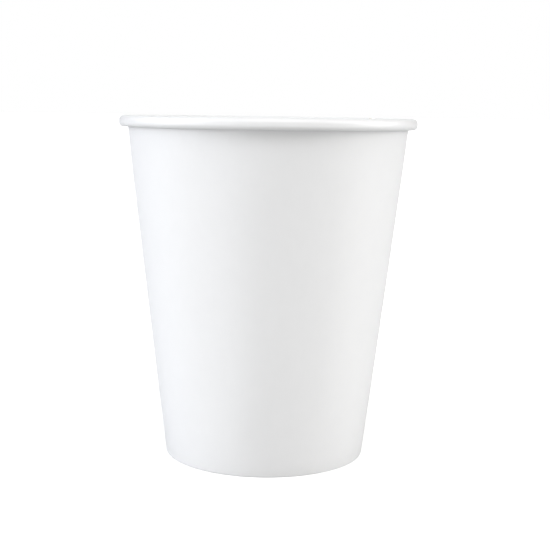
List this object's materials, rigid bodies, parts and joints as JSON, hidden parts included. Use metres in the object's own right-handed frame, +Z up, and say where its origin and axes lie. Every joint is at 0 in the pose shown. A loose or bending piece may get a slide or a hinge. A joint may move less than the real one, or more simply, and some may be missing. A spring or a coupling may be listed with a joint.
{
  "type": "paper cup",
  "caption": "Plain white single-wall paper cup for hot drinks: tapered side wall with a rolled rim and a lapped seam, and a recessed base held in its turned-in foot.",
  "frame": {"origin": "on the cup's axis, in the plane that its foot stands on", "axes": "+Z up along the cup's axis, from the foot to the rim; the side seam lies 40 to 50 degrees round from +X towards +Y, at the back of the pictured view, which looks along +Y"},
  "size_m": [0.08, 0.08, 0.092],
  "materials": {
    "wall_board": "smooth white coated board with a soft satin sheen",
    "base_board": "smooth white coated board with a soft satin sheen"
  },
  "bodies": {
    "root": {"side_wall": "wall_board", "base": "base_board"}
  },
  "joints": []
}
